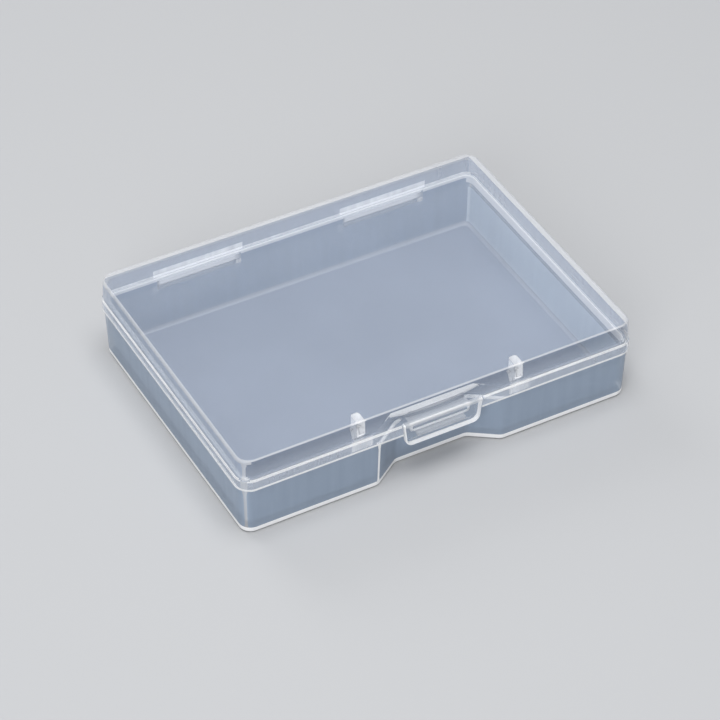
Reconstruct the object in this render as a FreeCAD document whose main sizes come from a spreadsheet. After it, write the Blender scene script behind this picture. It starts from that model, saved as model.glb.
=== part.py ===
# Small hinged storage box: a tray, a lid on two clip-on hinge barrels and a snap latch flap.
# Millimetres. The origin is the middle of the tray's underside, +Z is up and the latch faces -Y.
import FreeCAD, Part
import math
import os
import Sketcher

# Driving dimensions, kept in the sheet: lengths in millimetres, angles in degrees
SIZES = [
    # Overall outline, measured on the lid's band
    ("band_width", 95.0),
    ("band_depth", 70.0),
    ("box_height", 20.5),
    ("corner_radius", 3.6),
    # Tray
    ("shoulder_height", 12.25),
    ("rim_rise", 2.75),
    ("tray_inset", 0.4),
    ("wall_draft", 2.2),
    ("floor_thickness", 1.2),
    ("rim_wall", 0.7),
    ("rim_clearance", 0.15),
    ("floor_fillet", 0.9),
    ("foot_fillet", 0.6),
    # Finger recess in the tray's front
    ("recess_front_width", 29.8),
    ("recess_back_width", 17.1),
    ("recess_depth", 4.4),
    ("recess_front_round", 3.0),
    ("recess_back_round", 2.0),
    # Catch block and bow-shaped lip in the recess
    ("catch_width", 14.5),
    ("catch_rise", 1.35),
    ("catch_height", 2.4),
    ("catch_depth", 3.3),
    ("catch_round", 1.0),
    ("lip_width", 21.4),
    ("lip_tip_reach", 1.2),
    ("lip_front_reach", 2.45),
    ("lip_root", 0.25),
    ("lip_root_width", 16.8),
    ("lip_thickness", 1.2),
    # Lid
    ("seat_gap", 0.1),
    ("band_wall", 0.8),
    ("band_step", 0.25),
    ("lid_wall", 0.85),
    ("lid_roof", 1.0),
    ("lid_draft", 2.0),
    ("lid_edge_round", 1.0),
    ("lid_roof_fillet", 0.6),
    # Gussets behind the lid's front wall
    ("gusset_spacing", 38.0),
    ("gusset_thickness", 2.0),
    ("gusset_depth", 3.3),
    ("gusset_nib", 0.3),
    ("gusset_nib_rise", 0.5),
    ("gusset_tab_drop", 1.8),
    ("gusset_tab_depth", 1.4),
    ("gusset_clearance", 0.35),
    # Hinge: tray ears and pins, lid barrels
    ("hinge_spacing", 46.6),
    ("hinge_length", 22.0),
    ("hinge_offset", 0.85),
    ("hinge_rise", 0.65),
    ("barrel_radius", 1.5),
    ("pin_radius", 0.75),
    ("pin_clearance", 0.07),
    ("ear_thickness", 1.4),
    ("ear_gap", 0.15),
    ("barrel_gap", 0.25),
    ("snap_slot", 1.1),
    # Latch flap
    ("flap_top_width", 19.0),
    ("flap_bottom_width", 17.6),
    ("flap_drop", 3.35),
    ("flap_thickness", 1.1),
    ("flap_proud", 0.15),
    ("flap_corner", 1.8),
    ("flap_top_corner", 0.3),
    ("flap_edge_round", 0.25),
    ("flap_border", 1.1),
    ("flap_panel_depth", 0.45),
    ("flap_gap", 0.05),
    ("flap_side_gap", 0.2),
    ("bead_width", 11.6),
    ("bead_height", 1.1),
    ("bead_flat", 0.45),
    ("bead_bite", 0.4),
    ("bead_gap", 0.15),
    ("bead_root", 0.3),
    # How deep a piece is rooted in the wall that carries it, and how far cuts run past a face
    ("root_depth", 0.5),
    ("cut_overrun", 1.0),
]

# Measures that follow from the driving dimensions, as expressions on the sheet
HALF_WIDTH = "dims.band_width / 2"
HALF_DEPTH = "dims.band_depth / 2"
RIM_TOP = "(dims.shoulder_height + dims.rim_rise)"
LID_EDGE = "(dims.shoulder_height + dims.seat_gap)"
BAND_TOP = f"({RIM_TOP} + dims.seat_gap)"
ROOF_UNDERSIDE = "(dims.box_height - dims.lid_roof)"
RIM_INSET = "(dims.band_wall + dims.rim_clearance)"
CAVITY_INSET = f"({RIM_INSET} + dims.rim_wall)"
LID_INSET = "(dims.band_step + dims.lid_wall)"
RECESS_RUN = "((dims.recess_front_width - dims.recess_back_width) / 2)"
RECESS_FLARE = f"tan(atan(dims.recess_depth / {RECESS_RUN}) / 2)"
RECESS_WALL_Y = f"(dims.recess_depth + dims.tray_inset - {HALF_DEPTH})"
RECESS_RIM_Y = f"(dims.recess_depth + {RIM_INSET} - {HALF_DEPTH})"
CATCH_Y = f"({RECESS_WALL_Y} - dims.catch_depth)"
CATCH_TOP = "(dims.shoulder_height + dims.catch_rise)"
CATCH_BOTTOM = f"({CATCH_TOP} - dims.catch_height)"
HINGE_Y = f"({HALF_DEPTH} + dims.hinge_offset)"
HINGE_Z = "(dims.shoulder_height + dims.hinge_rise)"
HINGE_IN = "(dims.hinge_spacing / 2 - dims.hinge_length / 2)"
HINGE_OUT = "(dims.hinge_spacing / 2 + dims.hinge_length / 2)"
EAR_SPAN = "(dims.hinge_length - 2 * dims.ear_thickness)"
FLAP_FRONT = f"({HALF_DEPTH} + dims.flap_proud)"
FLAP_BACK = f"({FLAP_FRONT} - dims.flap_thickness)"
FLAP_TOP = f"({BAND_TOP} - dims.flap_gap)"
FLAP_BOTTOM = f"({LID_EDGE} - dims.flap_drop)"
FLAP_LEAN = f"((dims.flap_top_width - dims.flap_bottom_width) / 2 / ({FLAP_TOP} - {FLAP_BOTTOM}))"

TOLERANCE = 1e-4

doc = FreeCAD.newDocument("storage_box")
sheet = doc.addObject("Spreadsheet::Sheet", "dims")
for row, (alias, value) in enumerate(SIZES, start=1):
    sheet.set(f"A{row}", alias)
    sheet.set(f"B{row}", str(value))
    sheet.setAlias(f"B{row}", alias)
doc.recompute()


def number(expression):
    """Value of an expression on the sheet, as a plain number."""
    return float(sheet.evalExpression(expression))


def new_body(label):
    """Empty body for one piece of the box."""
    body = doc.addObject("PartDesign::Body", label)
    body.Label = label
    return body


def new_sketch(body, name, role, offset):
    """Sketch on one of the body's origin planes, moved along the plane's normal by offset."""
    plane = [feature for feature in body.Origin.OriginFeatures if feature.Role == role][0]
    sketch = body.newObject("Sketcher::SketchObject", name)
    sketch.AttachmentSupport = [(plane, "")]
    sketch.MapMode = "FlatFace"
    sketch.setExpression("AttachmentOffset.Base.z", offset)
    return sketch


def pin_point(sketch, geometry, point, place):
    """Holds one point of a sketch at a pair of expressions."""
    for kind, expression in zip(("DistanceX", "DistanceY"), place):
        constraint = Sketcher.Constraint(kind, -1, 1, geometry, point, number(expression))
        index = sketch.addConstraint(constraint)
        sketch.setExpression(f"Constraints[{index}]", expression)


def vector(place):
    """Point in a sketch from a pair of expressions."""
    return FreeCAD.Vector(number(place[0]), number(place[1]), 0)


def round_corner(before, corner, after, radius):
    """Arc that rounds a corner, where it meets the two lines, and whether it turns left."""
    back, ahead = (before - corner).normalize(), (after - corner).normalize()
    half_angle = back.getAngle(ahead) / 2
    reach = radius / math.tan(half_angle)
    arrive, leave = corner + back * reach, corner + ahead * reach
    centre = corner + (back + ahead).normalize() * (radius / math.sin(half_angle))
    turns_left = back.cross(ahead).z < 0
    first, last = (arrive, leave) if turns_left else (leave, arrive)
    angles = [math.atan2(place.y - centre.y, place.x - centre.x) for place in (first, last)]
    if angles[1] < angles[0]:
        angles[1] += 2 * math.pi
    arc = Part.ArcOfCircle(Part.Circle(centre, FreeCAD.Vector(0, 0, 1), radius), *angles)
    return arc, arrive, leave, turns_left


def draw_outline(sketch, corners, radii=None):
    """Closed outline through pairs of expressions, rounded where a corner has a radius."""
    count = len(corners)
    radii = radii or [None] * count
    places = [vector(corner) for corner in corners]
    rounds = []
    for index, (place, radius) in enumerate(zip(places, radii)):
        before, after = places[index - 1], places[(index + 1) % count]
        if radius:
            rounds.append(round_corner(before, place, after, number(radius)))
        else:
            rounds.append((None, place, place, True))
    for index in range(count):
        leave, arrive = rounds[index][2], rounds[(index + 1) % count][1]
        sketch.addGeometry(Part.LineSegment(leave, arrive))
    for index, corner in enumerate(corners):
        line_before = (index - 1) % count
        arc, _, _, turns_left = rounds[index]
        if arc is None:
            sketch.addConstraint(Sketcher.Constraint("Coincident", line_before, 2, index, 1))
            pin_point(sketch, index, 1, corner)
            continue
        curve = sketch.addGeometry(arc)
        point = sketch.addGeometry(Part.Point(places[index]))
        sketch.toggleConstruction(point)
        pin_point(sketch, point, 1, corner)
        for line in (line_before, index):
            sketch.addConstraint(Sketcher.Constraint("PointOnObject", point, 1, line))
        arrive_end, leave_end = (1, 2) if turns_left else (2, 1)
        sketch.addConstraint(Sketcher.Constraint("Tangent", line_before, 2, curve, arrive_end))
        sketch.addConstraint(Sketcher.Constraint("Tangent", curve, leave_end, index, 1))
        size = sketch.addConstraint(Sketcher.Constraint("Radius", curve, number(radii[index])))
        sketch.setExpression(f"Constraints[{size}]", radii[index])


def draw_circle(sketch, centre, radius):
    """Circle whose centre is a pair of expressions and whose radius is an expression."""
    circle = Part.Circle(vector(centre), FreeCAD.Vector(0, 0, 1), number(radius))
    sketch.addGeometry(circle)
    pin_point(sketch, 0, 3, centre)
    index = sketch.addConstraint(Sketcher.Constraint("Radius", 0, number(radius)))
    sketch.setExpression(f"Constraints[{index}]", radius)


def draw_bow(sketch, left, front, right, back_right, back_left):
    """Outline of a front arc through three places, closed behind by straight lines."""
    sketch.addGeometry(Part.Arc(vector(left), vector(front), vector(right)))
    for start, end in ((right, back_right), (back_right, back_left), (back_left, left)):
        sketch.addGeometry(Part.LineSegment(vector(start), vector(end)))
    touch = sketch.addGeometry(Part.Point(vector(front)))
    sketch.toggleConstruction(touch)
    pin_point(sketch, touch, 1, front)
    sketch.addConstraint(Sketcher.Constraint("PointOnObject", touch, 1, 0))
    for curve, place in enumerate((right, back_right, back_left, left)):
        after = (curve + 1) % touch
        sketch.addConstraint(Sketcher.Constraint("Coincident", curve, 2, after, 1))
        pin_point(sketch, curve, 2, place)


def finish_feature(feature):
    """Rebuilds the document and stops at a feature that failed."""
    doc.recompute()
    if "Invalid" in feature.State or "Error" in feature.State or feature.Shape.isNull():
        raise RuntimeError(f"{feature.Label} failed: {feature.State}")
    return feature


def extrude(body, kind, name, sketch, length, reverse=False):
    """Pad or pocket of a sketch, checked to add or to take away material."""
    before = body.Tip.Shape.Volume if body.Tip else 0.0
    feature = body.newObject(f"PartDesign::{kind}", name)
    feature.Profile = sketch
    feature.Reversed = reverse
    feature.setExpression("Length", length)
    finish_feature(feature)
    gained = feature.Shape.Volume - before
    if (gained > 0) != (kind == "Pad"):
        raise RuntimeError(f"{name} points the wrong way: {gained:.3f}")
    return feature


def pad(body, name, sketch, length, reverse=False):
    """Material added along the sketch's normal, or against it."""
    return extrude(body, "Pad", name, sketch, length, reverse)


def pocket(body, name, sketch, length, reverse=False):
    """Material taken away against the sketch's normal, or along it."""
    return extrude(body, "Pocket", name, sketch, length, reverse)


def names_of(kind, members, wanted):
    """Names of the edges or faces that a test picks."""
    return [f"{kind}{index}" for index, member in enumerate(members, start=1) if wanted(member)]


def fillet(body, name, wanted, radius):
    """Rounds the edges of the body so far that a test picks."""
    base = body.Tip
    edges = names_of("Edge", base.Shape.Edges, wanted)
    feature = body.newObject("PartDesign::Fillet", name)
    feature.Base = (base, edges)
    feature.setExpression("Radius", radius)
    return finish_feature(feature)


def draft(body, name, wanted, neutral, angle, reverse):
    """Leans the faces that a test picks about the face that another test picks."""
    base = body.Tip
    feature = body.newObject("PartDesign::Draft", name)
    feature.Base = (base, names_of("Face", base.Shape.Faces, wanted))
    feature.NeutralPlane = (base, names_of("Face", base.Shape.Faces, neutral)[:1])
    feature.Reversed = reverse
    feature.setExpression("Angle", angle)
    return finish_feature(feature)


def spans(member, low, high):
    """Whether an edge or face runs from one height to another."""
    box = member.BoundBox
    return abs(box.ZMin - number(low)) < TOLERANCE and abs(box.ZMax - number(high)) < TOLERANCE


def level(height):
    """Test for edges and faces that lie flat at a height."""
    return lambda member: spans(member, height, height)


def wall(low, high):
    """Test for upright faces that run from one height to another."""
    return lambda face: spans(face, low, high)


def draw_rectangle(sketch, inset):
    """Rounded outline of the box, drawn in by inset from the band."""
    x = f"({HALF_WIDTH} - {inset})"
    y = f"({HALF_DEPTH} - {inset})"
    corners = [(f"-{x}", f"-{y}"), (x, f"-{y}"), (x, y), (f"-{x}", y)]
    draw_outline(sketch, corners, [f"dims.corner_radius - {inset}"] * len(corners))


def recess_half_widths(inset):
    """Half widths of the finger recess at its mouth and at its back, for a wall at inset."""
    flare = f"({inset} - dims.tray_inset) * {RECESS_FLARE}"
    return f"(dims.recess_front_width / 2 + {flare})", f"(dims.recess_back_width / 2 + {flare})"


def draw_tray_outline(sketch, inset):
    """Rounded outline of the tray with its finger recess, drawn in by inset from the band."""
    mouth, back = recess_half_widths(inset)
    x = f"({HALF_WIDTH} - {inset})"
    y = f"({HALF_DEPTH} - {inset})"
    recess_y = f"({inset} + dims.recess_depth - {HALF_DEPTH})"
    corner = f"dims.corner_radius - {inset}"
    mouth_round = f"dims.recess_front_round - ({inset} - dims.tray_inset)"
    back_round = f"dims.recess_back_round + ({inset} - dims.tray_inset)"
    outline = [
        (f"-{x}", f"-{y}", corner),
        (f"-{mouth}", f"-{y}", mouth_round),
        (f"-{back}", recess_y, back_round),
        (back, recess_y, back_round),
        (mouth, f"-{y}", mouth_round),
        (x, f"-{y}", corner),
        (x, y, corner),
        (f"-{x}", y, corner),
    ]
    draw_outline(sketch, [place[:2] for place in outline], [place[2] for place in outline])


def build_tray():
    """Tray with its recess, rim, catch, lip, hinge ears and pins."""
    body = new_body("base_tray")

    # Drafted outside, up to the shoulder
    outline = new_sketch(body, "tray_outline", "XY_Plane", "0")
    draw_tray_outline(outline, "dims.tray_inset")
    pad(body, "tray_block", outline, "dims.shoulder_height")
    draft(body, "tray_draft", wall("0", "dims.shoulder_height"), level("dims.shoulder_height"),
          "dims.wall_draft", True)
    fillet(body, "foot_edge", level("0"), "dims.foot_fillet")

    # Rim that stands inside the lid's band
    rim = new_sketch(body, "rim_outline", "XY_Plane", "dims.shoulder_height")
    draw_tray_outline(rim, RIM_INSET)
    pad(body, "rim_block", rim, "dims.rim_rise")

    # Inside, drafted like the outside, with a rounded floor edge
    cavity = new_sketch(body, "cavity_outline", "XY_Plane", RIM_TOP)
    draw_tray_outline(cavity, CAVITY_INSET)
    pocket(body, "cavity", cavity, f"{RIM_TOP} - dims.floor_thickness")
    draft(body, "cavity_draft", wall("dims.floor_thickness", RIM_TOP),
          level(RIM_TOP), "dims.wall_draft", False)
    fillet(body, "floor_edge", level("dims.floor_thickness"), "dims.floor_fillet")

    build_catch(body)
    build_lip(body)
    build_ears(body)
    return body


def build_catch(body):
    """Block in the recess that the flap's bead snaps under."""
    half = "dims.catch_width / 2"
    face = new_sketch(body, "catch_face", "XZ_Plane", f"-{CATCH_Y}")
    corners = [(f"-{half}", CATCH_BOTTOM), (half, CATCH_BOTTOM), (half, CATCH_TOP), (f"-{half}", CATCH_TOP)]
    draw_outline(face, corners, ["dims.catch_round", "dims.catch_round", None, None])
    back_y = f"({RECESS_RIM_Y} + dims.rim_wall / 2)"
    pad(body, "catch", face, f"{back_y} - {CATCH_Y}", reverse=True)


def build_lip(body):
    """Bow-shaped lip on the rim across the recess."""
    tip, front = "dims.lip_width / 2", ("0", f"({RECESS_RIM_Y} - dims.lip_front_reach)")
    tip_y = f"({RECESS_RIM_Y} - dims.lip_tip_reach)"
    root, root_y = "dims.lip_root_width / 2", f"({RECESS_RIM_Y} + dims.lip_root)"
    bow = new_sketch(body, "lip_outline", "XY_Plane", f"{RIM_TOP} - dims.lip_thickness")
    draw_bow(bow, (f"-{tip}", tip_y), front, (tip, tip_y), (root, root_y), (f"-{root}", root_y))
    pad(body, "lip", bow, "dims.lip_thickness")


def build_ears(body):
    """Hinge ears with their pins on the back wall, and the hollow that the barrel turns in."""
    axis = (HINGE_Y, HINGE_Z)
    slope_share = 0.5 ** 0.5
    tangent_y = f"({HINGE_Y} + dims.barrel_radius * {slope_share})"
    tangent_z = f"({HINGE_Z} - dims.barrel_radius * {slope_share})"
    root_y = f"({HALF_DEPTH} - dims.tray_inset - dims.root_depth)"
    for side, inner in (("left", f"-{HINGE_OUT}"), ("right", HINGE_IN)):
        start = f"({inner} + dims.ear_thickness)"
        end = f"({start} + {EAR_SPAN})"
        hollow = new_sketch(body, f"hollow_{side}_outline", "YZ_Plane", end)
        draw_circle(hollow, axis, "dims.barrel_radius + dims.barrel_gap")
        pocket(body, f"hollow_{side}", hollow, EAR_SPAN)
        for number_of_ear, place in enumerate((inner, end), start=1):
            name = f"ear_{side}_{number_of_ear}"
            web = new_sketch(body, f"{name}_web_outline", "YZ_Plane", place)
            draw_outline(web, [(root_y, "dims.shoulder_height"), (HINGE_Y, "dims.shoulder_height"),
                               (tangent_y, tangent_z),
                               (root_y, f"{tangent_z} - ({tangent_y} - {root_y})")])
            pad(body, f"{name}_web", web, "dims.ear_thickness")
            disc = new_sketch(body, f"{name}_outline", "YZ_Plane", place)
            draw_circle(disc, axis, "dims.barrel_radius")
            pad(body, name, disc, "dims.ear_thickness")
        pin = new_sketch(body, f"pin_{side}_outline", "YZ_Plane", start)
        draw_circle(pin, axis, "dims.pin_radius")
        pad(body, f"pin_{side}", pin, EAR_SPAN)


def build_lid():
    """Lid with its band, gussets, hinge barrels and the notch for the latch flap."""
    body = new_body("lid")

    # Band that comes down over the rim
    band = new_sketch(body, "band_outline", "XY_Plane", LID_EDGE)
    draw_rectangle(band, "0")
    pad(body, "band_block", band, f"{BAND_TOP} - {LID_EDGE}")

    # Upper walls, drafted, with a rounded top edge
    crown = new_sketch(body, "crown_outline", "XY_Plane", BAND_TOP)
    draw_rectangle(crown, "dims.band_step")
    pad(body, "crown_block", crown, f"dims.box_height - {BAND_TOP}")
    draft(body, "crown_draft", wall(BAND_TOP, "dims.box_height"), level(BAND_TOP),
          "dims.lid_draft", False)
    fillet(body, "crown_edge", level("dims.box_height"), "dims.lid_edge_round")

    # Inside, drafted like the outside, and wider within the band
    inside = new_sketch(body, "inside_outline", "XY_Plane", LID_EDGE)
    draw_rectangle(inside, LID_INSET)
    pocket(body, "inside", inside, f"{ROOF_UNDERSIDE} - {LID_EDGE}", reverse=True)
    draft(body, "inside_draft", wall(LID_EDGE, ROOF_UNDERSIDE), level(LID_EDGE),
          "dims.lid_draft", True)
    fillet(body, "roof_edge", level(ROOF_UNDERSIDE), "dims.lid_roof_fillet")
    seat = new_sketch(body, "seat_outline", "XY_Plane", LID_EDGE)
    draw_rectangle(seat, "dims.band_wall")
    pocket(body, "seat", seat, f"{BAND_TOP} - {LID_EDGE}", reverse=True)

    build_notch(body)
    build_gussets(body)
    build_barrels(body)
    return body


def flap_half_width(height):
    """Half width of the tapered latch flap at a height."""
    return f"(dims.flap_bottom_width / 2 + {FLAP_LEAN} * ({height} - {FLAP_BOTTOM}))"


def build_notch(body):
    """Opening in the band's front that the latch flap hangs in."""
    low = f"({LID_EDGE} - dims.cut_overrun)"
    top_x = f"({flap_half_width(BAND_TOP)} + dims.flap_side_gap)"
    low_x = f"({flap_half_width(low)} + dims.flap_side_gap)"
    face = new_sketch(body, "notch_face", "XZ_Plane", f"{HALF_DEPTH} + dims.cut_overrun")
    draw_outline(face, [(f"-{low_x}", low), (low_x, low), (top_x, BAND_TOP), (f"-{top_x}", BAND_TOP)])
    pocket(body, "notch", face, "dims.band_wall + 2 * dims.cut_overrun")


def build_gussets(body):
    """Two ribs in the corner of the roof and the front wall, each with a tab behind the rim."""
    wall_y = f"({LID_INSET} - {HALF_DEPTH})"
    root_y = f"({wall_y} - dims.root_depth)"
    root_z = f"({ROOF_UNDERSIDE} + dims.root_depth)"
    depth_y = f"({wall_y} + dims.gusset_depth)"
    nib_y = f"({depth_y} + dims.gusset_nib)"
    tab_front = f"({CAVITY_INSET} + dims.gusset_clearance - {HALF_DEPTH})"
    tab_back = f"({tab_front} + dims.gusset_tab_depth)"
    above_rim = f"({BAND_TOP} + dims.gusset_clearance)"
    nib_z = f"({BAND_TOP} + dims.gusset_nib_rise)"
    tab_z = f"({BAND_TOP} - dims.gusset_tab_drop)"
    profile = [
        (root_y, root_z),
        (root_y, above_rim),
        (tab_front, above_rim),
        (tab_front, tab_z),
        (tab_back, tab_z),
        (depth_y, f"{nib_z} - dims.gusset_nib"),
        (nib_y, nib_z),
        (depth_y, f"{nib_z} + dims.gusset_nib"),
        (depth_y, root_z),
    ]
    for side, sign in (("left", "-"), ("right", "")):
        start = f"{sign}dims.gusset_spacing / 2 - dims.gusset_thickness / 2"
        rib = new_sketch(body, f"gusset_{side}_outline", "YZ_Plane", start)
        draw_outline(rib, profile)
        pad(body, f"gusset_{side}", rib, "dims.gusset_thickness")


def build_barrels(body):
    """C-shaped barrels on the back of the band, and the notches that the tray's ears turn in."""
    axis = (HINGE_Y, HINGE_Z)
    bore_radius = "dims.pin_radius + dims.pin_clearance"
    slot_low = f"({HINGE_Z} - dims.snap_slot / 2)"
    slot_high = f"({HINGE_Z} + dims.snap_slot / 2)"
    slot_end = f"({HINGE_Y} + dims.barrel_radius + dims.cut_overrun)"
    length = f"({EAR_SPAN} - 2 * dims.ear_gap)"
    notch = "(dims.ear_thickness + 2 * dims.ear_gap)"
    for side, inner in (("left", f"-{HINGE_OUT}"), ("right", HINGE_IN)):
        start = f"({inner} + dims.ear_thickness + dims.ear_gap)"
        end = f"({start} + {length})"
        barrel = new_sketch(body, f"barrel_{side}_outline", "YZ_Plane", start)
        draw_circle(barrel, axis, "dims.barrel_radius")
        pad(body, f"barrel_{side}", barrel, length)
        bore = new_sketch(body, f"bore_{side}_outline", "YZ_Plane", f"{end} + dims.cut_overrun")
        draw_circle(bore, axis, bore_radius)
        pocket(body, f"bore_{side}", bore, f"{length} + 2 * dims.cut_overrun")
        slot = new_sketch(body, f"slot_{side}_outline", "YZ_Plane", f"{end} + dims.cut_overrun")
        draw_outline(slot, [(HINGE_Y, slot_low), (slot_end, slot_low),
                            (slot_end, slot_high), (HINGE_Y, slot_high)])
        pocket(body, f"slot_{side}", slot, f"{length} + 2 * dims.cut_overrun")
        for number_of_ear, place in enumerate((start, f"{end} + {notch}"), start=1):
            name = f"ear_notch_{side}_{number_of_ear}"
            round_cut = new_sketch(body, f"{name}_outline", "YZ_Plane", place)
            draw_circle(round_cut, axis, "dims.barrel_radius + dims.barrel_gap")
            pocket(body, name, round_cut, notch)


def build_flap():
    """Latch flap: plate with a thick border round a thin panel, and the hook bead."""
    body = new_body("latch_flap")

    plate = new_sketch(body, "plate_outline", "XZ_Plane", FLAP_BACK)
    top, bottom = "dims.flap_top_width / 2", "dims.flap_bottom_width / 2"
    corners = [(f"-{bottom}", FLAP_BOTTOM), (bottom, FLAP_BOTTOM), (top, FLAP_TOP), (f"-{top}", FLAP_TOP)]
    draw_outline(plate, corners, ["dims.flap_corner"] * 2 + ["dims.flap_top_corner"] * 2)
    pad(body, "plate", plate, "dims.flap_thickness")
    front_y = -number(FLAP_FRONT)
    fillet(body, "plate_edge", lambda edge: edge.BoundBox.YMax < front_y + TOLERANCE,
           "dims.flap_edge_round")

    # Thin panel inside the border, sunk into the plate's back
    low, high = f"({FLAP_BOTTOM} + dims.flap_border)", f"({FLAP_TOP} - dims.flap_border)"
    low_x = f"({flap_half_width(low)} - dims.flap_border)"
    high_x = f"({flap_half_width(high)} - dims.flap_border)"
    panel_y = f"({FLAP_BACK} + dims.flap_panel_depth)"
    panel = new_sketch(body, "panel_outline", "XZ_Plane", panel_y)
    corners = [(f"-{low_x}", low), (low_x, low), (high_x, high), (f"-{high_x}", high)]
    draw_outline(panel, corners, ["dims.flap_corner - dims.flap_border"] * len(corners))
    pocket(body, "panel", panel, "dims.flap_panel_depth + dims.cut_overrun")

    # Hook bead on the panel, just under the tray's catch block
    bead_top = f"({CATCH_BOTTOM} - dims.bead_gap)"
    bead_low = f"({bead_top} - dims.bead_height)"
    tip_y = f"({CATCH_Y} + dims.bead_bite)"
    root_y = f"(-{panel_y} - dims.bead_root)"
    bead = new_sketch(body, "bead_outline", "YZ_Plane", "-dims.bead_width / 2")
    draw_outline(bead, [(root_y, bead_top), (root_y, bead_low), (f"-{panel_y}", bead_low),
                        (tip_y, f"{bead_top} - dims.bead_flat"), (tip_y, bead_top)])
    pad(body, "bead", bead, "dims.bead_width")
    return body


pieces = [build_tray(), build_lid(), build_flap()]
doc.recompute()

for item in doc.Objects:
    if "Invalid" in item.State or "Error" in item.State:
        raise RuntimeError(f"{item.Label} failed: {item.State}")
for piece in pieces:
    if piece.Shape.isNull() or not piece.Shape.isValid() or len(piece.Shape.Solids) != 1:
        raise RuntimeError(f"{piece.Label} is not one valid solid")

os.makedirs("parts", exist_ok=True)
for piece in pieces:
    piece.Shape.exportStep(f"parts/{piece.Label}.step")
    box = piece.Shape.BoundBox
    print(f"{piece.Label}: volume {piece.Shape.Volume:.1f}",
          f"X {box.XMin:.2f} {box.XMax:.2f} Y {box.YMin:.2f} {box.YMax:.2f}",
          f"Z {box.ZMin:.2f} {box.ZMax:.2f}")
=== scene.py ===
"""Studio scene of a small hinged storage box moulded in milky see-through plastic."""
import logging
import math
from dataclasses import dataclass, field
from enum import Enum
from typing import Optional, Union

import bpy
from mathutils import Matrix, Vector


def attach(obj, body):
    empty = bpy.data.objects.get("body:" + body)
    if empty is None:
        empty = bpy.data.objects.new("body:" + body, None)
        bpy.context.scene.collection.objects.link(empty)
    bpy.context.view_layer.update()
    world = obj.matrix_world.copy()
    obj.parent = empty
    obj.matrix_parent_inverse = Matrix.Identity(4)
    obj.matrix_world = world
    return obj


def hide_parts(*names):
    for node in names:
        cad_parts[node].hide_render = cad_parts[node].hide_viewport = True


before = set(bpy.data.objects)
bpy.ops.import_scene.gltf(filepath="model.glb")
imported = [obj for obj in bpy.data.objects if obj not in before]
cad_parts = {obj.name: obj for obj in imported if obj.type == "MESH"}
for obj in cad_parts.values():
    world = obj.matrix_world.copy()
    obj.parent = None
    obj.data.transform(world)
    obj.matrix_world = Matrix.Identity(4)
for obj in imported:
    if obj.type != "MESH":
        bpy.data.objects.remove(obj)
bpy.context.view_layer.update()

LOG = logging.getLogger("storage_box")

Triple = tuple[float, float, float]
Colour = tuple[float, float, float]

X_AXIS: Triple = (1.0, 0.0, 0.0)
Y_AXIS: Triple = (0.0, 1.0, 0.0)
Z_AXIS: Triple = (0.0, 0.0, 1.0)

# Material slots of a piece while its edges are being banded
BAND_SLOT = 0
BODY_SLOT = 1
SAME_SLOT = -1

# Bevel profiles: a square one only adds a band on each side of the edge
SQUARE_PROFILE = 1.0
ROUND_PROFILE = 0.5

# Middle of the range of a noise
MIDDLE = 0.5

# Sockets that a Mix node uses for colours, by number because their names repeat
MIX_SHARE = 0
MIX_LOW = 6
MIX_HIGH = 7
MIX_RESULT = 2

# Tints of white plastic where it is thick, also used for painted highlights along edges and for
# parts with a painted glow
BRIGHT: Colour = (0.95, 0.955, 0.965)
WHITE: Colour = (0.93, 0.94, 0.96)


class Zone(Enum):
    """Regions of a moulding that differ in look, some by thickness and some by painted
    highlights, painted glow and painted shade.
    """

    EDGE = "edge"
    CROWN = "crown"
    PANEL = "panel"
    WALL = "wall"
    BAND = "band"
    RIB = "rib"
    HINGE = "hinge"
    FOOT = "foot"
    # Floor fillet of the tray, which gets a painted highlight
    SEAM = "seam"
    SIDE = "side"
    # Whitish patches; on the tray's outer upright corners a painted highlight
    WHITISH = "whitish"
    INNER = "inner"
    FLANK = "flank"


def opaque(colour: Colour) -> tuple[float, float, float, float]:
    """Colour with full alpha, as a colour socket takes it."""
    return colour + (1.0,)


def faces_out(centre: Vector, normal: Vector) -> bool:
    """Whether a face looks away from the middle of the box."""
    return normal.x * centre.x + normal.y * centre.y > 0.0


class Value:
    """A number in a shader graph that can be used in Python expressions."""

    def __init__(self, graph: "Graph", socket: bpy.types.NodeSocket) -> None:
        """Wraps a number socket of a graph."""
        self.graph = graph
        self.socket = socket

    def __add__(self, other: "Number") -> "Value":
        """Sum of two numbers."""
        return self.graph.maths("ADD", self, other)

    def __sub__(self, other: "Number") -> "Value":
        """Difference of two numbers."""
        return self.graph.maths("SUBTRACT", self, other)

    def __mul__(self, other: "Number") -> "Value":
        """Product of two numbers."""
        return self.graph.maths("MULTIPLY", self, other)

    def __truediv__(self, other: "Number") -> "Value":
        """Quotient of two numbers."""
        return self.graph.maths("DIVIDE", self, other)

    def __rsub__(self, other: float) -> "Value":
        """Difference with a plain number in front."""
        return self.graph.maths("SUBTRACT", other, self)

    def __rtruediv__(self, other: float) -> "Value":
        """Quotient with a plain number in front."""
        return self.graph.maths("DIVIDE", other, self)

    __radd__ = __add__
    __rmul__ = __mul__

    def __abs__(self) -> "Value":
        """Size of a number without its sign."""
        return self.graph.maths("ABSOLUTE", self)


Number = Union[Value, float]
Feed = Union[Value, bpy.types.NodeSocket, float, tuple]


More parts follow.
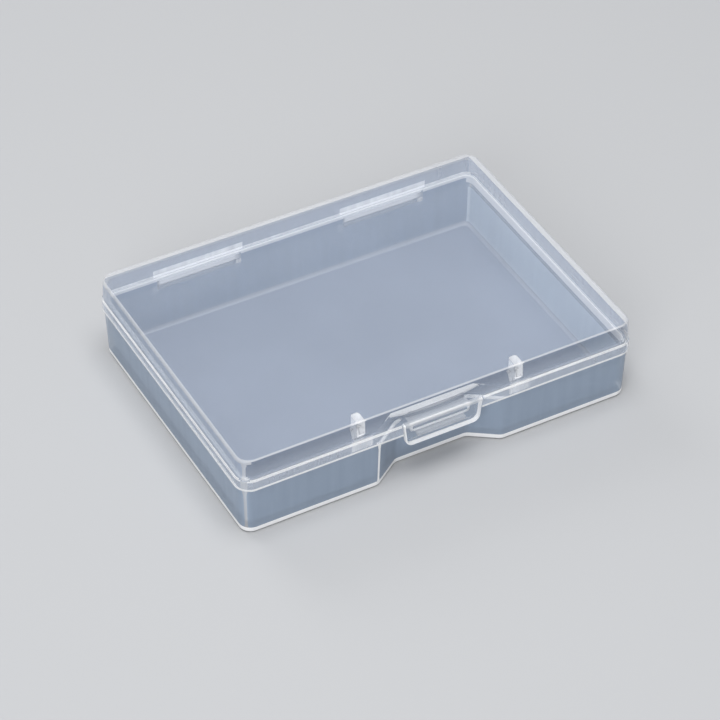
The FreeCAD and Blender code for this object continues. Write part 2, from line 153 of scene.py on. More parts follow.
class Graph:
    """Node tree of one finish."""

    def __init__(self, name: str) -> None:
        """Starts an empty tree in a new material.

        Args:
            name: name of the material.
        """
        self.material = bpy.data.materials.new(name)
        self.material.use_nodes = True
        self.tree = self.material.node_tree
        self.tree.nodes.clear()

    def node(self, kind: str, settings: Optional[dict] = None,
             inputs: Optional[dict] = None) -> bpy.types.Node:
        """Adds a node.

        Args:
            kind: type of the node.
            settings: attributes that are set before the sockets.
            inputs: values or links by socket name or number.

        Returns:
            The new node.
        """
        made = self.tree.nodes.new(kind)
        for key, value in (settings or {}).items():
            setattr(made, key, value)
        for key, value in (inputs or {}).items():
            self.feed(made.inputs[key], value)
        return made

    def feed(self, socket: bpy.types.NodeSocket, value: Feed) -> None:
        """Links a socket to a value of the graph, or sets it to a plain value.

        Args:
            socket: input that takes the value.
            value: number or colour, plain or from another node.
        """
        if isinstance(value, Value):
            value = value.socket
        if isinstance(value, bpy.types.NodeSocket):
            self.tree.links.new(value, socket)
        else:
            socket.default_value = value

    def maths(self, operation: str, *terms: Number) -> Value:
        """Adds one Math node for an expression."""
        made = self.node("ShaderNodeMath", {"operation": operation}, dict(enumerate(terms)))
        return Value(self, made.outputs[0])

    def blend(self, share: Number, low: Feed, high: Feed) -> bpy.types.NodeSocket:
        """Colour between two colours, by a share from 0 to 1."""
        inputs = {MIX_SHARE: share, MIX_LOW: low, MIX_HIGH: high}
        return self.node("ShaderNodeMix", {"data_type": "RGBA"}, inputs).outputs[MIX_RESULT]

    def height(self, vector: bpy.types.NodeSocket) -> Value:
        """Upward part of a place or of a direction."""
        parts = self.node("ShaderNodeSeparateXYZ", None, {0: vector}).outputs
        return Value(self, parts["Z"])

    def noise(self, place: bpy.types.NodeSocket, stretch: Triple, detail: float) -> Value:
        """Adds a noise on stretched coordinates.

        Args:
            place: coordinates on the piece.
            stretch: features per metre along each axis.
            detail: how many finer layers the noise has.

        Returns:
            The noise, from 0 to 1.
        """
        scaled = self.node("ShaderNodeMapping", None, {"Vector": place, "Scale": stretch})
        inputs = {"Vector": scaled.outputs[0], "Scale": 1.0, "Detail": detail}
        return Value(self, self.node("ShaderNodeTexNoise", None, inputs).outputs[0])

    def finish(self, sockets: dict[str, Feed]) -> bpy.types.Material:
        """Closes the tree with one Principled shader.

        Args:
            sockets: values or links of the shader's sockets by name.

        Returns:
            The material.
        """
        shader = self.node("ShaderNodeBsdfPrincipled", None, sockets)
        self.node("ShaderNodeOutputMaterial", None, {"Surface": shader.outputs[0]})
        return self.material


@dataclass(frozen=True)
class MilkyPlastic:
    """Milky see-through plastic with cloudy tint, upright flow streaks and fine grain."""

    name: str
    tint: Colour
    opacity: float
    roughness: float = 0.34
    cloud: float = 0.10
    streak: float = 0.08
    # Emission strength: a painted glow, light added to the plastic though it is no lamp
    glow: float = 0.0
    # Darker colour that the tint turns to with height over the span on the next line: painted
    # shade
    shade: Optional[Colour] = None
    shade_span: tuple[float, float] = (0.0, 1.0)
    cloud_stretch: Triple = (38.0, 38.0, 38.0)
    cloud_detail: float = 4.0
    streak_stretch: Triple = (520.0, 520.0, 18.0)
    streak_detail: float = 3.0
    grain_stretch: Triple = (2600.0, 2600.0, 2600.0)
    grain_detail: float = 2.0
    grain_height: float = 0.00002
    grain_strength: float = 0.35
    pale: float = 1.25
    dusk: float = 0.75
    tint_swing: float = 2.0
    roughness_swing: float = 0.12
    ior: float = 1.49

    def colour(self, graph: Graph, place: bpy.types.NodeSocket,
               haze: Value) -> bpy.types.NodeSocket:
        """Tint that varies with the haze, and turns with height to the painted shade where the
        finish has one.

        Args:
            graph: tree that the nodes go into.
            place: coordinates on the piece.
            haze: how much denser than usual the plastic is.

        Returns:
            The socket of the colour.
        """
        pale = opaque(tuple(min(1.0, part * self.pale) for part in self.tint))
        dusk = opaque(tuple(part * self.dusk for part in self.tint))
        colour = graph.blend(MIDDLE + haze * self.tint_swing, dusk, pale)
        if self.shade:
            low, high = self.shade_span
            share = (graph.height(place) - low) / (high - low)
            colour = graph.blend(share, colour, opaque(self.shade))
        return colour

    def material(self) -> bpy.types.Material:
        """Makes the node material of this finish.

        Returns:
            The material, whose tint and opacity vary together with the plastic's density.
        """
        graph = Graph(self.name)
        coordinates = graph.node("ShaderNodeTexCoord").outputs
        place = coordinates["Object"]
        upright = 1.0 - abs(graph.height(coordinates["Normal"]))
        cloud = graph.noise(place, self.cloud_stretch, self.cloud_detail) - MIDDLE
        streak = graph.noise(place, self.streak_stretch, self.streak_detail) - MIDDLE
        haze = cloud * self.cloud + streak * upright * self.streak
        bump = graph.node("ShaderNodeBump", None, {
            "Strength": self.grain_strength,
            "Distance": self.grain_height,
            "Height": graph.noise(place, self.grain_stretch, self.grain_detail),
        })
        return graph.finish({
            "Base Color": self.colour(graph, place, haze),
            "Roughness": self.roughness + cloud * self.roughness_swing,
            "Alpha": self.opacity + haze,
            "IOR": self.ior,
            # Painted glow: emission in the finish's own tint
            "Emission Color": opaque(self.tint),
            "Emission Strength": self.glow,
            "Normal": bump.outputs[0],
        })


@dataclass
class Moulding:
    """One moulded piece of the box, refined from its CAD solid."""

    node: str
    body: str
    slot: str
    piece: str
    band_width: float = 0.00028
    edge_width: float = 0.00008
    edge_segments: int = 2
    merge_distance: float = 1e-6
    flat_angle: float = math.radians(0.3)
    sharp_angle: float = math.radians(32.0)
    # How far a normal turns to an axis on a face that looks along it, lies level or is a side
    facing: float = 0.5
    level: float = 0.9
    sideways: float = 0.7
    # How much the two flat parts of a normal differ on an upright corner
    corner: float = 0.22
    # How near a face is to a level or to the outside, and how far a painted highlight line
    # reaches
    flush: float = 0.0002
    skin: float = 0.0003
    line: float = 0.0004
    made: Optional[bpy.types.Object] = field(default=None, repr=False)

    def side_cuts(self) -> tuple[float, ...]:
        """Places along X where the look changes."""
        return (0.0,)

    def level_cuts(self) -> tuple[float, ...]:
        """Heights where the look changes."""
        return ()

    def depth_cuts(self) -> tuple[float, ...]:
        """Places along Y where the look changes."""
        return (0.0,)

    def zone(self, centre: Vector, normal: Vector, banded: bool) -> Zone:
        """Region of the moulding that a face belongs to, which each moulding works out."""
        raise NotImplementedError

    def at_corner(self, centre: Vector, normal: Vector) -> bool:
        """Whether a face is on the outside of an upright corner."""
        slant = abs(abs(normal.x) - abs(normal.y))
        return faces_out(centre, normal) and slant < self.corner

    def round_edges(self, name: str, width: float, profile: float, slot: int) -> None:
        """Bevels every sharp edge of the piece.

        Args:
            name: name of the modifier.
            width: how far the bevel reaches from the edge.
            profile: shape of the bevel.
            slot: material slot of the new faces.
        """
        edge = self.made.modifiers.new(name, "BEVEL")
        edge.width = width
        edge.profile = profile
        edge.segments = self.edge_segments
        edge.limit_method = "ANGLE"
        edge.angle_limit = self.sharp_angle
        edge.use_clamp_overlap = False
        edge.material = slot
        bpy.ops.object.modifier_apply(modifier=name)

    def soften(self) -> None:
        """Rounds corners that are rounder than the rest, on a moulding that has them."""

    def cut(self, axis: Triple, place: float) -> None:
        """Cuts the mesh along a plane and marks the cut, so that it isn't joined again.

        Args:
            axis: direction that the plane is square to.
            place: where the plane is along that direction.
        """
        bpy.ops.mesh.select_all(action="SELECT")
        bpy.ops.mesh.bisect(plane_co=tuple(part * place for part in axis), plane_no=axis)
        bpy.ops.mesh.mark_seam()

    def copy_solid(self) -> bpy.types.Object:
        """Makes the piece from a copy of the solid's mesh, alone selected.

        Returns:
            The node of the solid.
        """
        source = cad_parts[self.node]
        bpy.ops.object.select_all(action="DESELECT")
        self.made = bpy.data.objects.new(self.piece, source.data.copy())
        bpy.context.scene.collection.objects.link(self.made)
        self.made.data.name = self.piece
        self.made.data.materials.clear()
        self.made.select_set(True)
        bpy.context.view_layer.objects.active = self.made
        bpy.ops.mesh.customdata_custom_splitnormals_clear()
        return source

    def part_faces(self) -> None:
        """Merges the mesh, cuts it where its look changes, and joins flat faces in between."""
        bpy.ops.object.mode_set(mode="EDIT")
        bpy.ops.mesh.select_all(action="SELECT")
        bpy.ops.mesh.remove_doubles(threshold=self.merge_distance)
        for place in self.side_cuts():
            self.cut(X_AXIS, place)
        for place in self.level_cuts():
            self.cut(Z_AXIS, place)
        for place in self.depth_cuts():
            self.cut(Y_AXIS, place)
        bpy.ops.mesh.select_all(action="SELECT")
        bpy.ops.mesh.dissolve_limited(angle_limit=self.flat_angle, delimit={"SEAM"})
        bpy.ops.object.mode_set(mode="OBJECT")

    def band_edges(self) -> None:
        """Adds a band of faces along each sharp edge and rounds the edge itself."""
        for _ in (BAND_SLOT, BODY_SLOT):
            self.made.data.materials.append(None)
        for face in self.made.data.polygons:
            face.material_index = BODY_SLOT
        self.round_edges("edge_band", self.band_width, SQUARE_PROFILE, BAND_SLOT)
        self.round_edges("edge_round", self.edge_width, ROUND_PROFILE, SAME_SLOT)

    def keep_inside(self, source: bpy.types.Object) -> None:
        """Draws in any point that a bevel has put outside the box of the solid.

        Args:
            source: node of the solid.
        """
        points = [vertex.co for vertex in source.data.vertices]
        for axis in range(3):
            low = min(point[axis] for point in points)
            high = max(point[axis] for point in points)
            for vertex in self.made.data.vertices:
                vertex.co[axis] = min(max(vertex.co[axis], low), high)

    def build(self) -> None:
        """Refines a copy of the solid's mesh into the piece."""
        source = self.copy_solid()
        self.part_faces()
        self.soften()
        self.band_edges()
        self.keep_inside(source)
        bpy.ops.object.shade_smooth_by_angle(angle=self.sharp_angle)

    def dress(self, finishes: dict[Zone, MilkyPlastic]) -> None:
        """Gives each face the finish of its region, and ties the piece to the frame.

        Args:
            finishes: finish of each region of this moulding, that of the edge bands first.
        """
        zones = list(finishes)
        # Noted first, because clearing the materials puts every face in the first slot
        banded = [face.material_index == BAND_SLOT for face in self.made.data.polygons]
        self.made.data.materials.clear()
        for finish in finishes.values():
            self.made.data.materials.append(finish.material())
        for face, in_band in zip(self.made.data.polygons, banded):
            face.material_index = zones.index(self.zone(face.center, face.normal, in_band))
        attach(self.made, self.body)
        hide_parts(self.node)
        LOG.info("%s: %d faces on body %s", self.piece, len(self.made.data.polygons), self.body)


@dataclass
class Tray(Moulding):
    """Lower half of the box, with its rim, finger recess, catch, lip and hinge ears."""

    node: str = "base_tray"
    body: str = "tray"
    slot: str = "tray_plastic"
    piece: str = "tray_moulding"
    half_width: float = 0.0471
    half_depth: float = 0.0346
    shoulder: float = 0.01225
    rim_top: float = 0.0150
    floor_top: float = 0.0012
    floor_fillet: float = 0.0009
    floor_level: float = 0.97
    fillet_rise: float = 0.1
    foot_top: float = 0.0014
    # Left upright corner of the recess mouth, which gets a painted highlight
    mouth: tuple[float, float] = (0.0135, 0.0172)
    mouth_back: float = -0.0325
    mouth_turn: tuple[float, float] = (0.15, 0.45)
    inner_back: float = 0.0325
    inner_side: float = 0.0450
    outer_back: float = 0.0347
    ear_low: float = 0.0091875
    hinge: tuple[float, float] = (0.0130, 0.0336)
    # Heights over which the rim's inner faces get a painted glow at the sides and at the back,
    # with a whitish strip by the hinges between them
    whitish_low: float = 0.0131
    back_whitish_low: float = 0.0142
    recess_half: float = 0.0155
    recess_back: float = -0.0285
    strip_low: float = 0.0117
    strip_front: float = -0.0342
    lip_half: float = 0.0108
    lip_low: float = 0.0137
    lip_back: float = -0.0300
    lip_front: float = -0.0315
    catch_front: float = -0.0331
    catch_half: float = 0.0076
    catch_side: float = 0.0066
    catch_line: float = 0.0119

    def side_cuts(self) -> tuple[float, ...]:
        """Middle, ends of the hinges and sides of the catch."""
        near, far = self.hinge
        return (0.0, -near, near, -far, far, -self.catch_side, self.catch_side)

    def level_cuts(self) -> tuple[float, ...]:
        """Foot highlight, recess strips, catch outline, shoulder, and the parts of the rim with
        a painted glow and a whitish strip.
        """
        return (self.foot_top, self.strip_low, self.catch_line, self.shoulder,
                self.whitish_low, self.back_whitish_low)

    def depth_cuts(self) -> tuple[float, ...]:
        """Middle and the two long edges of the white lip."""
        return (0.0, self.lip_back, self.lip_front)

    def on_lip(self, centre: Vector) -> bool:
        """Whether a place is on the lip over the catch."""
        return abs(centre.x) < self.lip_half and centre.y < self.lip_back

    def on_catch(self, centre: Vector) -> bool:
        """Whether a place is on the front of the catch."""
        return abs(centre.x) < self.catch_half and centre.y < self.catch_front

    def edge_zone(self, centre: Vector) -> Optional[Zone]:
        """Region of a face along a sharp edge.

        Args:
            centre: middle of the face.

        Returns:
            The edge finish, a painted highlight partly from thicker plastic, where that edge
            shows, and otherwise none.
        """
        on_rim = centre.y > self.inner_back or abs(centre.x) > self.inner_side
        at_rim = on_rim and centre.z > self.rim_top - self.line
        on_top = centre.z > self.rim_top - self.flush and centre.y > self.lip_front
        at_lip = self.on_lip(centre) and on_top
        at_catch = self.on_catch(centre) and centre.z < self.lip_low
        outside = (abs(centre.x) > self.half_width - self.skin
                   or centre.y < self.skin - self.half_depth)
        at_shoulder = outside and abs(centre.z - self.shoulder) < self.line
        return Zone.EDGE if at_rim or at_lip or at_catch or at_shoulder else None

    def recess_zone(self, centre: Vector, normal: Vector) -> Optional[Zone]:
        """Region of a face in the finger recess.

        Args:
            centre: middle of the face.
            normal: direction of the face.

        Returns:
            The region of a catch, lip or strip, and otherwise none.
        """
        beside = abs(centre.x)
        forward = normal.y < -self.facing
        level = normal.z > self.level
        if beside >= self.recess_half or centre.y >= self.recess_back:
            return None
        at_outline = centre.z < self.catch_line or beside > self.catch_side
        if self.on_catch(centre) and at_outline and forward:
            return Zone.RIB
        if beside < self.catch_half and level and centre.z < self.lip_low:
            return Zone.WHITISH
        if self.on_lip(centre) and centre.z > self.rim_top - self.flush:
            return Zone.RIB if centre.y > self.lip_front else Zone.WHITISH
        # Level faces at the shoulder in the recess: a painted highlight
        if level and abs(centre.z - self.shoulder) < self.skin:
            return Zone.RIB
        on_strip = self.strip_low < centre.z < self.shoulder and centre.y > self.strip_front
        return Zone.RIB if on_strip and forward and beside > self.catch_half else None

    def rim_zone(self, centre: Vector, normal: Vector) -> Zone:
        """Region of a face over the shoulder.

        Args:
            centre: middle of the face.
            normal: direction of the face.

        Returns:
            The region, which is white with a painted glow on the inner faces at the sides and
            the back.
        """
        beside = abs(centre.x)
        inward = normal.x * centre.x < 0.0
        if beside > self.inner_side and centre.z > self.whitish_low and inward:
            return Zone.INNER
        by_hinge = self.hinge[0] < beside < self.hinge[1]
        at_back = self.inner_back < centre.y < self.outer_back and normal.y < -self.facing
        if at_back and not by_hinge and centre.z > self.back_whitish_low:
            return Zone.INNER
        if at_back and by_hinge and self.whitish_low < centre.z < self.back_whitish_low:
            return Zone.WHITISH
        return Zone.WALL if centre.y > self.inner_back and not by_hinge else Zone.BAND

    def wall_zone(self, centre: Vector, normal: Vector) -> Zone:
        """Region of a face of the floor or the walls.

        Args:
            centre: middle of the face.
            normal: direction of the face.

        Returns:
            The region.
        """
        if abs(normal.z) > self.floor_level:
            return Zone.PANEL
        # Floor fillet: a painted highlight
        if normal.z > self.fillet_rise and centre.z < self.floor_top + self.floor_fillet:
            return Zone.SEAM
        # Foot, and the left upright corner of the recess mouth: a painted highlight
        near, far = self.mouth
        at_mouth = -far < centre.x < -near and centre.y < self.mouth_back and normal.y < 0.0
        low_turn, high_turn = self.mouth_turn
        if centre.z < self.foot_top or (at_mouth and low_turn < normal.x < high_turn):
            return Zone.FOOT
        # Outer upright corners: a painted highlight in the whitish finish
        if self.at_corner(centre, normal):
            return Zone.WHITISH
        # Inner side walls: a lighter copy of the wall tint, painted light
        inner_side = abs(normal.x) >= self.sideways and not faces_out(centre, normal)
        return Zone.SIDE if inner_side else Zone.WALL

    def zone(self, centre: Vector, normal: Vector, banded: bool) -> Zone:
        """Region of the tray that a face belongs to.

        Args:
            centre: middle of the face.
            normal: direction of the face.
            banded: whether the face is in the band along a sharp edge.

        Returns:
            The region.
        """
        region = self.edge_zone(centre) if banded else None
        if region is None and centre.y > self.outer_back and centre.z > self.ear_low:
            region = Zone.HINGE
        region = region or self.recess_zone(centre, normal)
        if region is None and centre.z > self.shoulder - self.flush:
            region = self.rim_zone(centre, normal)
        return region or self.wall_zone(centre, normal)


@dataclass
class Lid(Moulding):
    """Upper half of the box, with its band, gussets and hinge barrels."""

    node: str = "lid"
    body: str = "lid"
    slot: str = "lid_plastic"
    piece: str = "lid_moulding"
    half_width: float = 0.0475
    half_depth: float = 0.0350
    outer_reach: float = 0.0006
    band_low: float = 0.01235
    band_line: float = 0.0129
    band_top: float = 0.0151
    flap_half: float = 0.0101
    # Crown with a painted highlight: its rounded faces, and strips along the right and the back
    # of the panel
    crown_low: float = 0.0191
    crown_side: float = 0.0452
    crown_back: float = 0.0328
    crown_turn: tuple[float, float] = (0.55, 0.87)
    left_turn: float = -0.3
    left_crown_turn: float = 0.1
    panel_level: float = 0.6
    inner_back: float = 0.0335
    barrel_front: float = 0.0351
    hinge: tuple[float, float] = (0.0123, 0.0343)
    root_top: float = 0.0157
    bar_top: float = 0.0170
    gusset_place: float = 0.019
    gusset_half: float = 0.0012
    gusset_wall: float = 0.0010
    gusset_slack: float = 0.00005
    gusset_back: float = -0.0308
    gusset_front: float = -0.0336
    gusset_round: float = 0.0006
    gusset_segments: int = 4
    whitish_half: float = 0.0025
    front_wall: float = -0.0330

    def side_cuts(self) -> tuple[float, ...]:
        """Middle, gussets and the whitish patches by them, ends of the hinges and the right
        crown highlight strip.

        Returns:
            Places along X, of which all but the first and the last are in pairs, left and right.
        """
        gusset = self.gusset_place
        places = (gusset, gusset - self.whitish_half, gusset + self.whitish_half, *self.hinge)
        pairs = tuple(side * place for place in places for side in (-1.0, 1.0))
        return (0.0, *pairs, self.crown_side)

    def level_cuts(self) -> tuple[float, ...]:
        """Low line of the band, and tops of the hinge roots and of the bars over them."""
        return (self.band_line, self.root_top, self.bar_top)

    def depth_cuts(self) -> tuple[float, ...]:
        """Middle and the back crown highlight strip."""
        return (0.0, self.crown_back)

    def soften(self) -> None:
        """Rounds the long corners of the gussets."""
        bpy.ops.object.mode_set(mode="EDIT")
        bpy.ops.mesh.select_mode(type="EDGE")
        bpy.ops.mesh.select_all(action="DESELECT")
        bpy.ops.object.mode_set(mode="OBJECT")
        places = [vertex.co for vertex in self.made.data.vertices]
        for edge in self.made.data.edges:
            edge.select = all(self.on_gusset_corner(places[index]) for index in edge.vertices)
        bpy.ops.object.mode_set(mode="EDIT")
        bpy.ops.mesh.bevel(offset=self.gusset_round, segments=self.gusset_segments)
        bpy.ops.object.mode_set(mode="OBJECT")

    def on_gusset_corner(self, place: Vector) -> bool:
        """Whether a point is on a side wall of a gusset, at its back."""
        off_side = abs(abs(abs(place.x) - self.gusset_place) - self.gusset_wall)
        return off_side < self.gusset_slack and self.gusset_back < place.y < 0.0

    def on_gusset(self, centre: Vector) -> bool:
        """Whether a place is on a gusset.

        Args:
            centre: middle of a face.

        Returns:
            True on one of the two gussets, under the crown.
        """
        beside = abs(abs(centre.x) - self.gusset_place) < self.gusset_half
        under_crown = centre.z < self.crown_low + self.skin
        return beside and under_crown and self.gusset_front < centre.y < 0.0

    def on_bright_line(self, centre: Vector, normal: Vector, banded: bool) -> bool:
        """Whether a face is on one of the painted highlight lines of the band and the gussets.

        Args:
            centre: middle of the face.
            normal: direction of the face.
            banded: whether the face is in the band along a sharp edge.

        Returns:
            True on such a line.
        """
        before_barrels = centre.y < self.half_depth
        outside = (abs(centre.x) > self.half_width - self.outer_reach
                   or abs(centre.y) > self.half_depth - self.outer_reach)
        on_line = (centre.z < self.band_low + self.line
                   or abs(centre.z - self.band_top) < self.line)
        by_flap = abs(centre.x) < self.flap_half and centre.y < 0.0
        sharp = outside and on_line and not by_flap and before_barrels
        if banded and (sharp or self.on_gusset(centre)):
            return True
        return centre.z < self.band_line and faces_out(centre, normal) and before_barrels

    def back_zone(self, centre: Vector, normal: Vector) -> Optional[Zone]:
        """Region of a face of the barrels or of the back wall that they stand on.

        Args:
            centre: middle of the face.
            normal: direction of the face.

        Returns:
            The region of a barrel, its root or the strip over the rim, and otherwise none.
        """
        if centre.y > self.barrel_front:
            return Zone.HINGE
        by_hinge = self.hinge[0] < abs(centre.x) < self.hinge[1]
        forward = normal.y < -self.facing
        if centre.y > self.inner_back and by_hinge:
            # Hinge roots: white with a painted glow
            if forward and self.band_low < centre.z < self.root_top:
                return Zone.INNER
            if centre.z < self.band_top:
                return Zone.HINGE
        whitish_top = self.bar_top if by_hinge else self.root_top
        if centre.y > self.crown_back and forward and centre.z < whitish_top:
            return Zone.WHITISH if centre.z > self.band_top else Zone.BAND
        return None

    def top_zone(self, centre: Vector, normal: Vector) -> Optional[Zone]:
        """Region of a face of the top panel or the crown round it, where the crown gets a
        painted highlight.

        Args:
            centre: middle of the face.
            normal: direction of the face.

        Returns:
            The region, or none for a face under the crown or of a wall.
        """
        if centre.z <= self.crown_low:
            return None
        low_turn, high_turn = self.crown_turn
        if normal.x < self.left_turn:
            low_turn = self.left_crown_turn
        # Strips along the right and the back of the panel also get the painted highlight
        far_strip = centre.x > self.crown_side or centre.y > self.crown_back
        if low_turn < normal.z < high_turn or (far_strip and normal.z > self.panel_level):
            return Zone.CROWN
        return Zone.PANEL if abs(normal.z) > self.panel_level else None

    def wall_zone(self, centre: Vector, normal: Vector) -> Zone:
        """Region of a face of the walls or the band.

        Args:
            centre: middle of the face.
            normal: direction of the face.

        Returns:
            The region.
        """
        upright = abs(normal.z) < self.facing
        # Front upright corners: a painted highlight in the crown finish
        if self.at_corner(centre, normal) and normal.y < 0.0 and upright:
            return Zone.CROWN
        # The right side wall's inner face takes the band's lighter tint as painted light; the
        # other side-wall faces take the flank finish
        if centre.z > self.band_top and abs(normal.x) > self.sideways:
            right_inside = centre.x > 0.0 and not faces_out(centre, normal)
            return Zone.BAND if right_inside else Zone.FLANK
        # Front wall, whose finish darkens towards the top: painted shade
        if centre.z > self.band_top:
            return Zone.WALL if centre.y < self.front_wall else Zone.SIDE
        by_gusset = abs(abs(centre.x) - self.gusset_place) < self.whitish_half
        whitish_patch = by_gusset and centre.y < self.gusset_front and normal.y > self.level
        return Zone.WHITISH if whitish_patch else Zone.BAND

    def zone(self, centre: Vector, normal: Vector, banded: bool) -> Zone:
        """Region of the lid that a face belongs to.

        Args:
            centre: middle of the face.
            normal: direction of the face.
            banded: whether the face is in the band along a sharp edge.

        Returns:
            The region.
        """
        if self.on_bright_line(centre, normal, banded):
            return Zone.EDGE
        region = Zone.RIB if self.on_gusset(centre) else self.back_zone(centre, normal)
        region = region or self.top_zone(centre, normal)
        return region or self.wall_zone(centre, normal)


@dataclass
class Flap(Moulding):
    """Latch flap with its thick border, thin panel and hook bead."""

    node: str = "latch_flap"
    body: str = "latch"
    slot: str = "latch_plastic"
    piece: str = "flap_moulding"
    top: float = 0.01505
    low: float = 0.0090
    low_half: float = 0.0088
    top_half: float = 0.0095
    border: float = 0.0006
    border_corner: float = 0.0013
    root_low: float = 0.0143
    plate_back: float = -0.0345
    bead_half: float = 0.0058
    bead_front: float = -0.0344

    def level_cuts(self) -> tuple[float, ...]:
        """Low edge of the root."""
        return (self.root_low,)

    def depth_cuts(self) -> tuple[float, ...]:
        """Back of the plate."""
        return (self.plate_back,)

    def zone(self, centre: Vector, normal: Vector, banded: bool) -> Zone:
        """Region of the flap that a face belongs to.

        Args:
            centre: middle of the face.
            normal: not used.
            banded: not used.

        Returns:
            The region.
        """
        beside = abs(centre.x)
        rise = centre.z - self.low
        half = self.low_half + (self.top_half - self.low_half) * rise / (self.top - self.low)
        by_side = beside > half - self.border
        in_corner = beside - rise > half - self.border_corner
        if by_side or in_corner or rise < self.border:
            return Zone.EDGE
        if centre.z > self.root_low:
            return Zone.WHITISH
        on_bead = centre.y > self.bead_front and beside < self.bead_half
        return Zone.RIB if on_bead else Zone.PANEL


@dataclass
class SoftLight:
    """One soft box of the studio."""

    name: str
    place: Triple
    width: float
    power: float

    def build(self, aim: Vector) -> None:
        """Adds the lamp and turns it towards the object.

        Args:
            aim: place that the lamp looks at.
        """
        bpy.ops.object.select_all(action="DESELECT")
        bpy.ops.object.light_add(type="AREA", location=self.place)
        lamp = bpy.context.object
        lamp.name = self.name
        lamp.data.shape = "SQUARE"
        lamp.data.size = self.width
        lamp.data.energy = self.power
        lamp.rotation_euler = (aim - Vector(self.place)).to_track_quat("-Z", "Y").to_euler()


@dataclass
class Studio:
    """Pale floor, soft light and the camera."""

    floor_size: float = 6.0
    floor_level: float = -0.0001
    floor_cuts: int = 7
    floor_tint: Colour = (0.41, 0.415, 0.425)
    floor_dusk: float = 0.985
    floor_roughness: float = 0.8
    floor_shine: float = 0.2
    mottle_stretch: Triple = (9.0, 9.0, 9.0)
    mottle_detail: float = 3.0
    world_tint: Colour = (0.80, 0.82, 0.85)
    world_strength: float = 0.44
    camera_place: Triple = (-0.24356, -0.44509, 0.44369)
    camera_turn: Triple = (49.01, 0.0, -28.6)
    camera_lens: float = 153.1
    camera_near: float = 0.01
    sensor: float = 36.0
    aim: Triple = (0.0, 0.0, 0.01)
    lights: tuple[SoftLight, ...] = (
        SoftLight("key_softbox", (-0.03, -0.10, 0.95), 0.60, 8.6),
        SoftLight("front_softbox", (-0.70, -0.75, 0.55), 0.55, 6.0),
        SoftLight("back_softbox", (-0.20, 0.90, 0.60), 0.50, 3.2),
    )

    def floor_finish(self) -> bpy.types.Material:
        """Makes the faintly mottled matt finish of the floor.

        Returns:
            The material.
        """
        graph = Graph("pale_floor")
        place = graph.node("ShaderNodeTexCoord").outputs["Object"]
        mottle = graph.noise(place, self.mottle_stretch, self.mottle_detail)
        dusk = opaque(tuple(part * self.floor_dusk for part in self.floor_tint))
        return graph.finish({
            "Base Color": graph.blend(mottle, dusk, opaque(self.floor_tint)),
            "Roughness": self.floor_roughness,
            "Specular IOR Level": self.floor_shine,
        })

    def build_floor(self) -> None:
        """Adds the floor."""
        bpy.ops.object.select_all(action="DESELECT")
        place = (0.0, 0.0, self.floor_level)
        bpy.ops.mesh.primitive_plane_add(size=self.floor_size, location=place)
        floor = bpy.context.object
        floor.name = "studio_floor"
        bpy.ops.object.transform_apply()
        bpy.ops.object.mode_set(mode="EDIT")
        bpy.ops.mesh.subdivide(number_cuts=self.floor_cuts)
        bpy.ops.object.mode_set(mode="OBJECT")
        floor.data.materials.append(self.floor_finish())

    def build_light(self) -> None:
        """Adds the soft boxes and the even light of the room."""
        for light in self.lights:
            light.build(Vector(self.aim))
        world = bpy.data.worlds.new("studio_room")
        world.use_nodes = True
        backdrop = world.node_tree.nodes["Background"]
        backdrop.inputs["Color"].default_value = opaque(self.world_tint)
        backdrop.inputs["Strength"].default_value = self.world_strength
        bpy.context.scene.world = world
        bpy.context.scene.view_settings.view_transform = "Standard"

    def build_camera(self) -> None:
        """Adds the camera at the angle of the reference view."""
        bpy.ops.object.select_all(action="DESELECT")
        turn = tuple(math.radians(angle) for angle in self.camera_turn)
        bpy.ops.object.camera_add(location=self.camera_place, rotation=turn)
        camera = bpy.context.object
        camera.name = "studio_camera"
        camera.data.lens = self.camera_lens
        camera.data.sensor_width = self.sensor
        camera.data.clip_start = self.camera_near
        bpy.context.scene.camera = camera

    def build(self) -> None:
        """Adds everything around the object."""
        self.build_floor()
        self.build_light()
        self.build_camera()
        LOG.info("studio: %d soft boxes", len(self.lights))


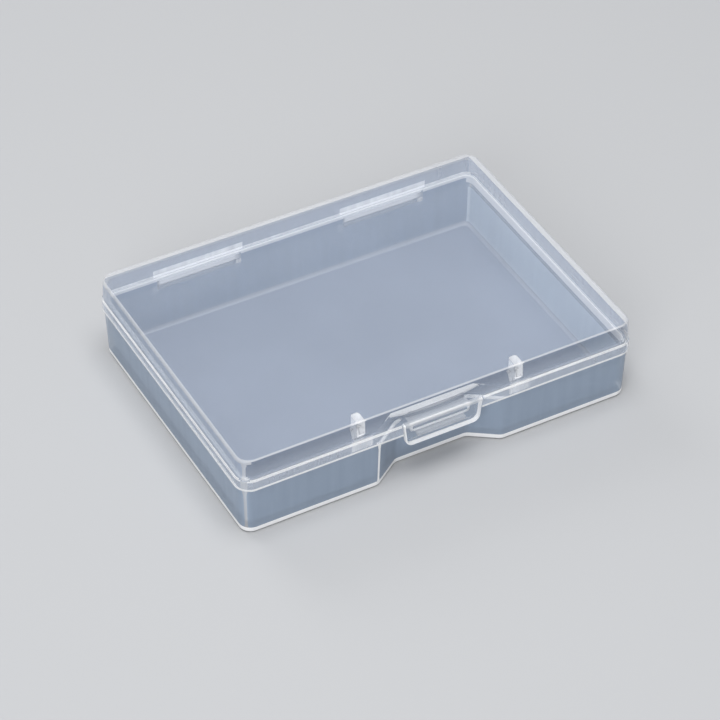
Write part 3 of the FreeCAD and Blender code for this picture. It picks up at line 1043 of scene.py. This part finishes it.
TRAY_FINISHES: dict[Zone, MilkyPlastic] = {
    # Painted highlights along edges, partly thicker plastic, with a painted glow
    Zone.EDGE: MilkyPlastic("tray_edge_highlights", BRIGHT, 0.92, glow=0.06),
    Zone.PANEL: MilkyPlastic("tray_floor", (0.325, 0.365, 0.44), 0.70),
    Zone.WALL: MilkyPlastic("tray_wall", (0.325, 0.40, 0.505), 0.68),
    Zone.BAND: MilkyPlastic("tray_rim", (0.46, 0.52, 0.61), 0.15),
    # White where the plastic is thick, with a painted glow
    Zone.RIB: MilkyPlastic("tray_lip_glow", WHITE, 0.88, glow=0.20),
    Zone.HINGE: MilkyPlastic("tray_ears", WHITE, 0.60),
    # Painted highlight along the foot and the corner of the recess mouth, with a painted glow
    Zone.FOOT: MilkyPlastic("tray_foot_highlight", BRIGHT, 0.97, glow=0.06),
    # Painted highlight along the floor fillet
    Zone.SEAM: MilkyPlastic("tray_fillet_highlight", (0.385, 0.42, 0.485), 0.75),
    # Whitish patches; on the outer upright corners a painted highlight
    Zone.WHITISH: MilkyPlastic("tray_whitish", WHITE, 0.38),
    # Inner side walls: a lighter copy of the wall tint, painted light
    Zone.SIDE: MilkyPlastic("tray_side_lit", (0.63, 0.72, 0.86), 0.70),
    # Inner faces of the rim: white with a painted glow
    Zone.INNER: MilkyPlastic("tray_rim_side_glow", WHITE, 0.55, glow=0.30),
}

LID_FINISHES: dict[Zone, MilkyPlastic] = {
    # Painted highlight lines along the band and the gussets, partly thicker plastic
    Zone.EDGE: MilkyPlastic("lid_edge_highlights", BRIGHT, 0.74),
    # Painted highlight along the crown, the right and back strips of the panel and the front
    # corners
    Zone.CROWN: MilkyPlastic("lid_crown_highlight", BRIGHT, 0.32),
    Zone.PANEL: MilkyPlastic("lid_panel", (0.405, 0.465, 0.575), 0.17, streak=0.0),
    # Front wall, darker towards the top: painted shade
    Zone.WALL: MilkyPlastic("lid_wall", (0.50, 0.56, 0.65), 0.24,
                            shade=(0.16, 0.20, 0.28), shade_span=(0.0151, 0.0191)),
    Zone.SIDE: MilkyPlastic("lid_side", (0.35, 0.41, 0.51), 0.45),
    Zone.FLANK: MilkyPlastic("lid_flank", (0.44, 0.51, 0.625), 0.45),
    # Band, and the right inner side wall, where the lighter tint is painted light
    Zone.BAND: MilkyPlastic("lid_band_and_lit_wall", (0.62, 0.67, 0.75), 0.32),
    # Gussets: white where the plastic is thick, with a painted glow
    Zone.RIB: MilkyPlastic("lid_gusset_glow", WHITE, 0.90, streak=0.4, glow=0.16),
    # Whitish patches with a painted glow
    Zone.WHITISH: MilkyPlastic("lid_whitish_glow", WHITE, 0.50, streak=0.6, glow=0.30),
    # Hinge roots: white with a painted glow
    Zone.INNER: MilkyPlastic("lid_hinge_root_glow", WHITE, 0.90, glow=0.42),
    Zone.HINGE: MilkyPlastic("lid_barrel", (0.80, 0.83, 0.88), 0.70, roughness=0.5),
}

FLAP_FINISHES: dict[Zone, MilkyPlastic] = {
    # Thick border, with a painted glow
    Zone.EDGE: MilkyPlastic("flap_edges", BRIGHT, 0.90, glow=0.06),
    Zone.PANEL: MilkyPlastic("flap_plate", (0.50, 0.56, 0.65), 0.18),
    Zone.RIB: MilkyPlastic("flap_bead", (0.85, 0.88, 0.92), 0.34),
    Zone.WHITISH: MilkyPlastic("flap_root", WHITE, 0.36),
}


def main() -> None:
    """Builds the box piece by piece, then the studio round it."""
    logging.basicConfig(level=logging.INFO)
    tray, lid, flap = Tray(), Lid(), Flap()
    for moulding in (tray, lid, flap):
        moulding.build()
    tray.dress(TRAY_FINISHES)
    lid.dress(LID_FINISHES)
    flap.dress(FLAP_FINISHES)
    Studio().build()


if __name__ == "__main__":
    main()
